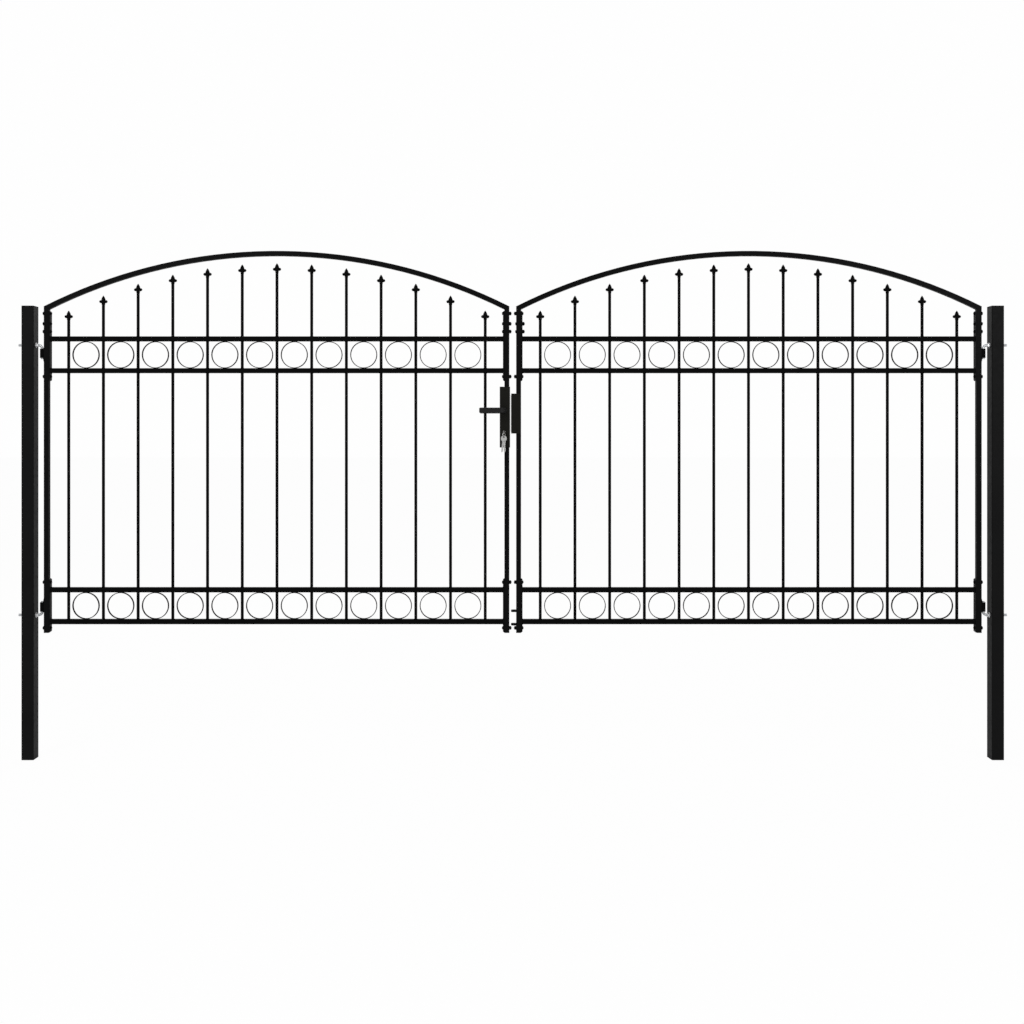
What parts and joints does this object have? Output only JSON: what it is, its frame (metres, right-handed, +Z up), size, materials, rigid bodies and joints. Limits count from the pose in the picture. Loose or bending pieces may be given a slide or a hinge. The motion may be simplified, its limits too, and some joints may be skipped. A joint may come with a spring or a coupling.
{
  "type": "double fence gate",
  "caption": "Arched double fence gate of black steel: two picket leaves with ring bands and spear heads, on square posts with pintle hinges, a lever lock and a keep.",
  "frame": {"origin": "middle of the left post's sawn foot", "axes": "+X along the gate from the left post to the right one, +Y to the back, the side the leaves open to, +Z up"},
  "size_m": [4.04, 0.1236, 2.0748],
  "materials": {
    "black_coat": "satin black powder coat",
    "black_cap": "matt black moulded plastic",
    "zinc": "bright zinc plate",
    "nickel": "satin nickel",
    "lever_black": "smooth black lever"
  },
  "bodies": {
    "posts": {"left_post": "black_coat", "right_post": "black_coat", "left_post_cap": "black_cap", "right_post_cap": "black_cap", "left_upper_pintle": "zinc", "left_lower_pintle": "zinc", "right_upper_pintle": "zinc", "right_lower_pintle": "zinc", "left_pintle_nuts": "zinc", "right_pintle_nuts": "zinc"},
    "left_leaf": {"left_hinge_stile": "black_coat", "left_meeting_stile": "black_coat", "left_arch": "black_coat", "left_upper_rails": "black_coat", "left_lower_rails": "black_coat", "left_pickets": "black_coat", "left_spear_heads": "black_coat", "left_upper_rings": "black_coat", "left_lower_rings": "black_coat", "left_hinge_plates": "black_coat", "left_meeting_plates": "black_coat", "left_hinge_barrels": "black_coat", "lock_case": "black_coat", "lock_forend": "zinc", "lock_cylinder": "nickel", "keys": "nickel"},
    "right_leaf": {"right_hinge_stile": "black_coat", "right_meeting_stile": "black_coat", "right_arch": "black_coat", "right_upper_rails": "black_coat", "right_lower_rails": "black_coat", "right_pickets": "black_coat", "right_spear_heads": "black_coat", "right_upper_rings": "black_coat", "right_lower_rings": "black_coat", "right_hinge_plates": "black_coat", "right_meeting_plates": "black_coat", "right_hinge_barrels": "black_coat", "lock_keep": "black_coat", "drop_bolt_guides": "black_coat"},
    "lever": {"front_lever": "lever_black", "back_lever": "lever_black", "lever_spindle": "zinc"}
  },
  "joints": [
    {"name": "left_leaf_swing", "type": "hinge", "parent": "posts", "child": "left_leaf", "pos_m": [0.0505, 0, 0.62], "axis": [0, 0, 1], "range_deg": [0, 90]},
    {"name": "right_leaf_swing", "type": "hinge", "parent": "posts", "child": "right_leaf", "pos_m": [3.8995, 0, 0.62], "axis": [0, 0, -1], "range_deg": [0, 90]},
    {"name": "lever_turn", "type": "hinge", "parent": "left_leaf", "child": "lever", "pos_m": [1.939, 0, 1.423], "axis": [0, -1, 0], "range_deg": [0, 40], "stiffness_Nm_per_rad": 1, "springref_deg": -28.65}
  ]
}
